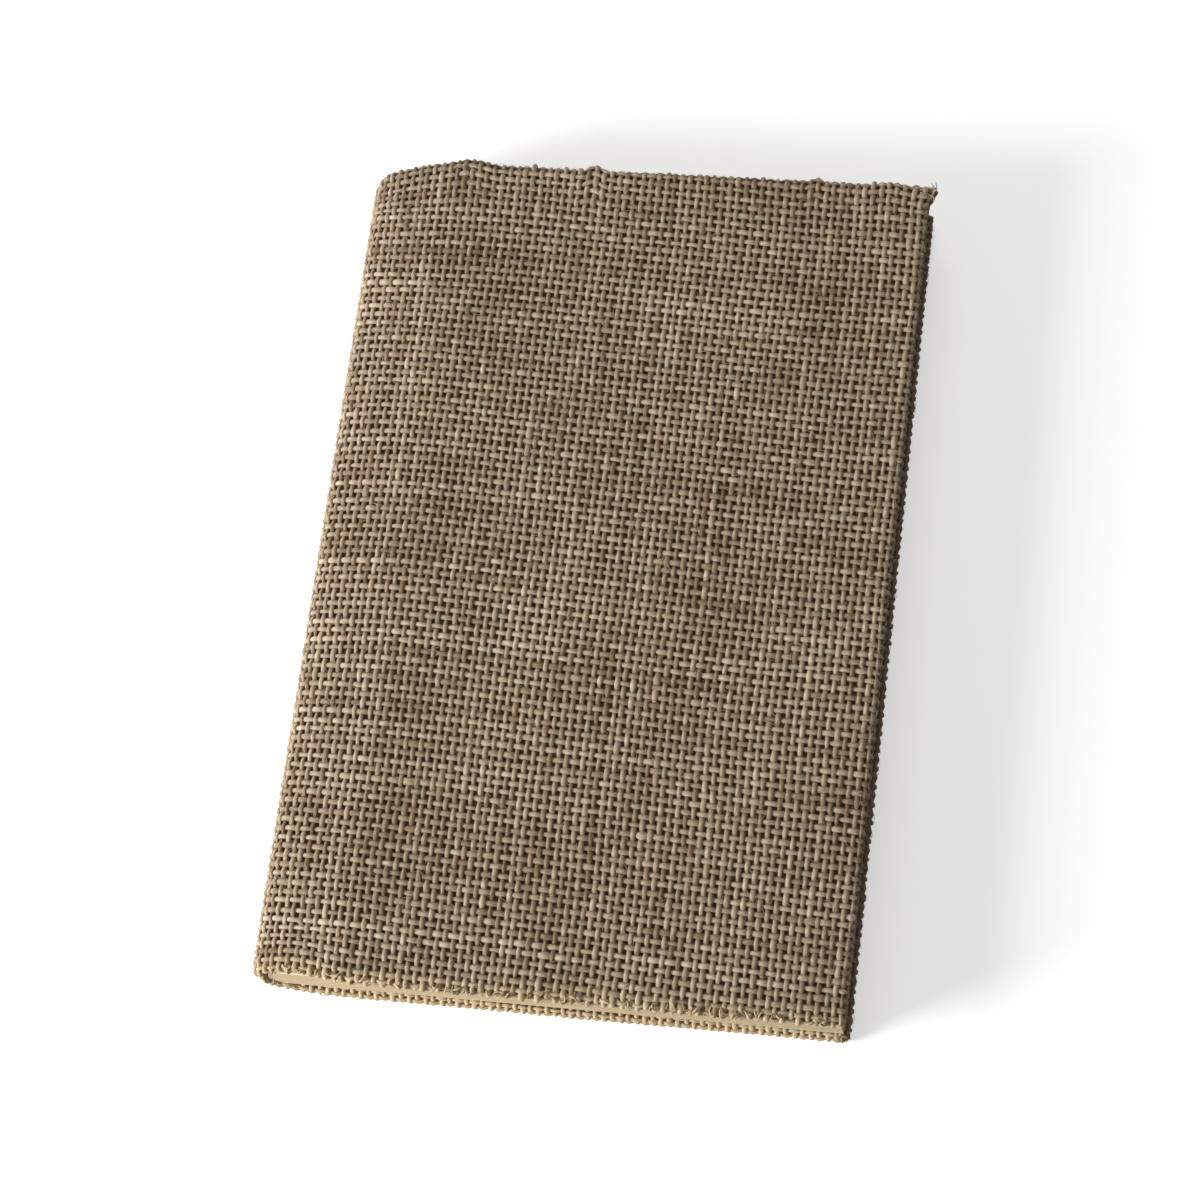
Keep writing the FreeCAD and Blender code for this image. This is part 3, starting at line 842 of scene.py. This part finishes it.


# The second run has close stops, where the spine meets the cover.
round_stops = stops((-0.6, 6.4, 7), (6.4, 10.6, 17), (10.6, 34.0, 12), (34.0, fore_u, 44),
                    *turned_in(fore_u, fore_rounding, 6))
up_half = stops((0.0, head_v - drawn_length, 3), (head_v - drawn_length, head_v, 7),
                *turned_in(head_v, head_rounding, 5))
up_stops = [-v for v in reversed(up_half[1:])] + up_half


def stays(u, v):
    """False at the mitred corners, and where the turn-in is cut short round the spine."""
    beyond = abs(v)
    mitred = u > fore_u + mitre_round and beyond > head_v + mitre_up
    return not (mitred or (u < spine_trim and beyond > head_v + backing_trim))


# %% Wrap the backing
backing_depth, backing_thickness = 1.1, 0.12
stands_for = {"front": ["front_cloth", "spine_cloth"], "back": ["back_cloth"]}
for cover, side in sides.items():
    shape = flat_pattern(f"{cover}_backing", round_stops, up_stops, -backing_depth, stays)
    if side < 0:
        shape.data.transform(Matrix.Diagonal((-1, 1, 1, 1)))
        shape.data.flip_normals()
    wrap(shape, side, backing)
    solid = shape.modifiers.new("thickness", "SOLIDIFY")
    solid.thickness, solid.offset = backing_thickness * mm, 0.0
    piece = baked(f"{cover}_backing", shape)
    hang_on_hinge(piece)
    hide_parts(*stands_for[cover])

# %% [markdown]
# ## The leaves
# The text block is a stack of sewn leaves. From the side they read as fine lines, because no two
# leaves are cut at quite the same place, and as slightly deeper lines between the sewn sections. The
# block is one closed mesh of flat rings, one leaf after another, each set in by a hair.

# %% Page block
back_bulge = 3.4        # how far the rounded back stands out
leaf_count, section_leaves = 96, 16
edge_steps = {"tail": 10, "fore": 14, "head": 10, "fold": 14}


def make_leaves():
    lo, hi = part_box("page_block")
    low, high = lo.z / mm, hi.z / mm
    x_fold, x_cut, y_cut = lo.x / mm, hi.x / mm, hi.y / mm
    half = (high - low) / 2
    back_radius = (half**2 + back_bulge**2) / (2 * back_bulge)
    random = Random(11)

    def ring(z, leaf, setback):
        """One outline, along the tail, the fore-edge, the head and the rounded back."""
        x0 = x_fold + back_radius - math.sqrt(back_radius**2 - (z - low - half) ** 2)
        points = []
        for edge, steps in edge_steps.items():
            for t in (i / steps for i in range(steps)):
                wave = 0.05 * math.sin(leaf * 1.7 + t * 5) * math.sin(t * math.pi)
                inset = setback + max(0.0, wave)
                x1, y = x_cut - inset, y_cut - inset
                place = {"tail": (x0 + (x1 - x0) * t, -y), "fore": (x1, -y + 2 * y * t),
                         "head": (x1 + (x0 - x1) * t, y), "fold": (x0, y - 2 * y * t)}[edge]
                points.append((*place, z))
        return points

    verts = []
    for leaf in range(leaf_count):
        outermost = leaf in (0, leaf_count - 1)
        grooved = leaf % section_leaves in (0, section_leaves - 1) and not outermost
        setback = 0.02 + random.random() * 0.06 + (0.10 if grooved else 0.0)
        for edge in (0.03, 0.97):
            verts += ring(low + (high - low) * (leaf + edge) / leaf_count, leaf, setback)
    around = sum(edge_steps.values())
    faces = []
    for start in range(0, len(verts) - around, around):
        for i in range(around):
            a, b = start + i, start + (i + 1) % around
            faces.append((a, b, b + around, a + around))
    faces.append(tuple(reversed(range(around))))
    faces.append(tuple(range(len(verts) - around, len(verts))))
    return flat_object("leaves", verts, faces)


# %% Paper finishes
section_height, block_foot = 1.6, 5.0       # of the sewn sections, in millimetres


def make_page_paper():
    """The cut edges of the leaves: fine level lines, and darker ones between the sections."""
    material, tree = new_material("page_edges", 0.85)
    x, y, z = parts_of(tree, add(tree, "ShaderNodeTexCoord").outputs["Object"])
    lines = noise(tree, vector(tree, x * 2.0, y * 2.0, z * 10000.0), detail=0.0)
    soft = noise(tree, vector(tree, x * 40.0, y * 40.0, z * 60.0), detail=2.0)
    shade = ramp(tree, lines * 1.1 + soft * 0.5 + 0.5, 0.0, 1.0)
    colour = mix(tree, shade, paint(184, 163, 125), paint(220, 202, 168))
    sections = (z / (section_height * mm)).math("FRACT") - (block_foot / section_height) % 1
    gap = ramp(tree, sections.size(), 0.02, 0.07, 0.35, 0.0)
    colour = mix(tree, gap, colour, paint(140, 114, 76))
    return finished(material, colour, lines, 0.00015)


def make_end_paper():
    """Smooth cream paper with a little cloud in it."""
    material, tree = new_material("end_paper", 0.75)
    paper = placed(tree, mottle, Place=attribute_vector(tree, "flat_place"), Cloud_Size=60.0,
                   Grain_Size=2600.0)
    shade = ramp(tree, paper["Cloud"] * 1.2 + paper["Grain"] * 0.5 + 0.5, 0.0, 1.0)
    colour = mix(tree, shade, paint(216, 201, 168), paint(230, 218, 190))
    return finished(material, colour, paper["Grain"], 0.00004)


leaves = make_leaves()
leaves.data.materials.append(make_page_paper())
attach(leaves, "text_block")
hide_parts("page_block")
print("leaves:", len(leaves.data.polygons), "faces")

# %% [markdown]
# ## The endpapers
# An endpaper is one folded sheet. Half of it is pasted inside the cover, over the edges of the
# turned-in cloth, so those edges show through as a soft step. The other half lies on the pages. The
# fold sits beside the hinge and bends tightly, so it has many narrow stops.

# %% A sheet with thickness from a grid of points
def solid_sheet(name, grid, thickness):
    """grid[i][j] are points in mm on the middle of the sheet; the result is closed all round."""
    count, across = len(grid), len(grid[0])
    under = count * across

    def direction(i, j):
        along = Vector(grid[min(i + 1, count - 1)][j]) - Vector(grid[max(i - 1, 0)][j])
        aside = Vector(grid[i][min(j + 1, across - 1)]) - Vector(grid[i][max(j - 1, 0)])
        return along.cross(aside).normalized()

    verts = []
    for half in (0.5, -0.5):
        for n in range(under):
            i, j = divmod(n, across)
            verts.append(Vector(grid[i][j]) + direction(i, j) * (half * thickness))
    faces = []
    for quad in grid_quads(count, across):
        faces += [quad, tuple(under + n for n in reversed(quad))]
    rim = [(0, j) for j in range(across)] + [(i, across - 1) for i in range(1, count)]
    rim += [(count - 1, j) for j in range(across - 2, -1, -1)] + [(i, 0) for i in range(count - 2, 0, -1)]
    rim = [i * across + j for i, j in rim]
    for a, b in zip(rim, rim[1:] + rim[:1]):
        faces.append((a, b, under + b, under + a))
    made = flat_object(name, verts, faces)
    for polygon in made.data.polygons:
        polygon.use_smooth = polygon.index < len(faces) - len(rim)      # the thin rim stays sharp
    run = [0.0]
    for i in range(1, count):
        run.append(run[-1] + math.dist(grid[i - 1][0], grid[i][0]))
    flat = made.data.attributes.new("flat_place", "FLOAT_VECTOR", "POINT")
    for n, item in enumerate(flat.data):
        i, j = divmod(n % under, across)
        item.vector = (run[i] * mm, grid[i][j][1] * mm, 0.0)
    return made


# %% Sizes of an endpaper, in millimetres
paper_thickness = 0.2
paste_level, board_level, leaf_level = 15.05, 16.25, 14.73      # heights of the sheet's middle
paste_edge, paste_half = 68.75, 105.3                           # the pasted half's edges
leaf_edge, leaf_half = 71.4, 107.9                              # and the free half's
fold_x, fold_z, fold_radius = -66.1, 14.89, 0.16
joint_start, joint_end = -66.0, -52.95          # the pasted half drops to the fold between these
window_x, window_y = 57.2, 93.3                 # where the turned-in cloth ends
rim_stop = 0.3                                  # a stop this near the rim keeps the sheet's shading flat


def soft_step(value, start, end):
    t = min(1.0, max(0.0, (value - start) / (end - start)))
    return t * t * (3 - 2 * t)


def pasted_level(x, y):
    """Height of the pasted half: on the turned-in cloth, down on the board, then on to the fold."""
    inside = soft_step(x, joint_start, joint_end) * soft_step(x, window_x + 1, window_x - 1) \
        * soft_step(abs(y), window_y + 1, window_y - 1)
    return paste_level + (board_level - paste_level) * inside


# %% Fold the endpapers
def endpaper_grid(side):
    """Rows of points from the pasted edge, round the fold, to the free edge."""
    rim, on_cloth, on_board = paste_edge - rim_stop, window_x + 1.8, window_x - 1.8
    pasted = stops((paste_edge, rim, 1), (rim, on_cloth, 2), (on_cloth, on_board, 9),
                   (on_board, joint_end, 4), (joint_end, fold_x, 6))
    bend = stops((0, 70, 4), (70, 112, 26), (112, 180, 4))
    free = stops((fold_x, leaf_edge - rim_stop, 5), (leaf_edge - rim_stop, leaf_edge, 1))
    shares = stops((0.0, 0.86, 4), (0.86, 0.91, 8), (0.91, 0.997, 1), (0.997, 1.0, 1))
    shares = [-s for s in reversed(shares[1:])] + shares
    grid = [[(x, s * paste_half, pasted_level(x, s * paste_half)) for s in shares] for x in pasted[:-1]]
    for step, angle in enumerate(bend):
        half = paste_half + (leaf_half - paste_half) * step / (len(bend) - 1)
        a = math.radians(angle)
        x, z = fold_x - fold_radius * math.sin(a), fold_z + fold_radius * math.cos(a)
        grid.append([(x, s * half, z) for s in shares])
    grid += [[(x, s * leaf_half, leaf_level) for s in shares] for x in free[1:]]
    return [[(x, y, z if side > 0 else top - z) for x, y, z in row] for row in grid]


end_paper = make_end_paper()
for cover, side in sides.items():
    sheet = solid_sheet(f"{cover}_endpaper", endpaper_grid(side), paper_thickness)
    sheet.data.materials.append(end_paper)
    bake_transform(sheet)
    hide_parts(f"{cover}_pastedown", f"{cover}_flyleaf")
    print(sheet.name, len(sheet.data.polygons), "faces")

# %% [markdown]
# ## Card and lining
# The boards are grey card, and the back of the sections is lined with gauze. They are the plain CAD
# solids, so they only need a finish. The spine strip is thin pale card, bent to the spine's curve. The
# cloth is drawn in at both ends of the spine, so the strip's ends are cut round to stay inside it.

# %% Card and gauze
def make_card(name, dark, light):
    material, tree = new_material(name, 0.9)
    place = add(tree, "ShaderNodeTexCoord").outputs["Object"]
    pulp = placed(tree, mottle, Place=place, Cloud_Size=90.0, Grain_Size=900.0)
    shade = ramp(tree, pulp["Grain"] + pulp["Cloud"] * 0.4 + 0.5, 0.2, 0.8)
    return finished(material, mix(tree, shade, paint(*dark), paint(*light)), pulp["Grain"], 0.0001)


def make_gauze():
    """A loose grid of fine threads over glued paper."""
    material, tree = new_material("lining_gauze", 0.85)
    _, y, z = parts_of(tree, add(tree, "ShaderNodeTexCoord").outputs["Object"])
    level, standing = (z * 5200.0).math("SINE"), (y * 5200.0).math("SINE")
    threads = ramp(tree, standing.at_least(level), 0.4, 0.9)
    colour = mix(tree, threads, paint(176, 160, 128), paint(228, 220, 200))
    return finished(material, colour, threads, 0.0002)


card, gauze = make_card("grey_card", (118, 106, 92), (156, 146, 130)), make_gauze()
for node, finish in {"front_board": card, "back_board": card, "spine_lining": gauze}.items():
    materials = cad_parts[node].data.materials
    materials.clear()
    materials.append(finish)
    print(f"{node}: CAD solid with its own finish")

# %% Spine strip
strip_radius, strip_thickness = spine_radius - 1.6, 0.8
strip_half_angle = 55.0                     # either side of the spine's middle, in degrees
strip_clear, more_at_tail = 1.5, 0.8        # it ends this far inside the cloth, and more at the tail


def strip_row(angle):
    """Points along the spine; near the ends they stop inside the rounded corners of the cloth."""
    a = math.radians(angle)
    x, z = spine_x - strip_radius * math.cos(a), middle + strip_radius * math.sin(a)
    reach = min(0.98, 1 - max(0.0, spine_radius - spine_radius * math.cos(a)) / corner_round)
    pulled = corner_round * (1 - math.sqrt(1 - max(0.0, reach) ** 2)) + drawn_in
    up, down = head - strip_clear - pulled, head - strip_clear - tail_share * pulled - more_at_tail
    rows_up = stops((-down, rim_stop - down, 1), (rim_stop - down, up - rim_stop, 4), (up - rim_stop, up, 1))
    return [(x, y, z) for y in rows_up]


angles = stops((-strip_half_angle, strip_half_angle, 24))
strip = solid_sheet("spine_strip_card", [strip_row(angle) for angle in angles], strip_thickness)
strip.data.materials.append(make_card("manila_card", (206, 184, 150), (230, 212, 182)))
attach(strip, "text_block")
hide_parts("spine_strip")
print("spine strip:", len(strip.data.polygons), "faces")

# %% [markdown]
# ## Camera, light and floor
# A notebook on a table is seen from above, a little turned, through a long lens that keeps its sides
# nearly parallel. Cloth shows best in low light from one side, which catches each thread and leaves
# the holes dark; a large, weak lamp opposite keeps them from going black. The floor is pale, and the
# camera sees it white where nothing stands on it, but it doesn't throw that light on the book.

# %% Camera
def look_from(place, target, roll, lens):
    camera = linked("camera", bpy.data.cameras.new("camera"))
    camera.data.lens, camera.data.sensor_width = lens, 36.0
    camera.location = place
    way = (Vector(target) - Vector(place)).to_track_quat("-Z", "Y").to_matrix()
    camera.rotation_euler = (way @ Matrix.Rotation(math.radians(roll), 3, "Z")).to_euler()
    camera.data.clip_start, camera.data.clip_end = 0.05, 20.0
    bpy.context.scene.camera = camera
    print(f"camera {(Vector(target) - Vector(place)).length:.2f} m away")


look_from((0.1471, -0.2892, 0.8222), (0.0004, -0.0050, 0.0098), -21.59, 105.0)
bpy.context.scene.view_settings.view_transform = "Standard"


# %% Light
def seen_directly(tree):
    """1 for what the camera sees, directly or in a reflection, and 0 for light that falls on things."""
    rays = add(tree, "ShaderNodeLightPath").outputs
    return Value(tree, rays["Is Camera Ray"]) + rays["Is Glossy Ray"] + rays["Is Transmission Ray"]


def make_surroundings(strength):
    """White where it is seen, and a weak even light for everything else."""
    world = bpy.data.worlds.new("studio")
    bpy.context.scene.world = world
    world.use_nodes = True
    tree = world.node_tree
    fill(tree, tree.nodes["Background"], Color=(1, 1, 1, 1),
         Strength=seen_directly(tree) * (1 - strength) + strength)


def soft_lamp(name, place, size, power):
    lamp = linked(name, bpy.data.lights.new(name, "AREA"))
    lamp.location, lamp.data.size, lamp.data.energy = place, size, power
    lamp.rotation_euler = (-lamp.location).to_track_quat("-Z", "Y").to_euler()
    print(f"{name}: {power} W, {lamp.location.length * 1000:.0f} mm away")


make_surroundings(0.2)
soft_lamp("soft_key", (-0.89, -0.45, 0.37), 0.42, 17.2)
soft_lamp("soft_fill", (-0.05, 0.90, 0.75), 0.6, 3.2)


# %% Floor
def make_floor(half):
    """A pale floor that reads as white where nothing stands on it, and still takes a soft shadow."""
    corners = [(-half, -half, 0), (half, -half, 0), (half, half, 0), (-half, half, 0)]
    floor = flat_object("floor", corners, [(0, 1, 2, 3)])
    material, tree = new_material("pale_floor", 0.9)
    fill(tree, tree.nodes["Principled BSDF"], Base_Color=(0.8, 0.8, 0.8, 1),
         Emission_Color=(1, 1, 1, 1), Emission_Strength=seen_directly(tree) * 0.5)
    floor.data.materials.append(material)


make_floor(3000)
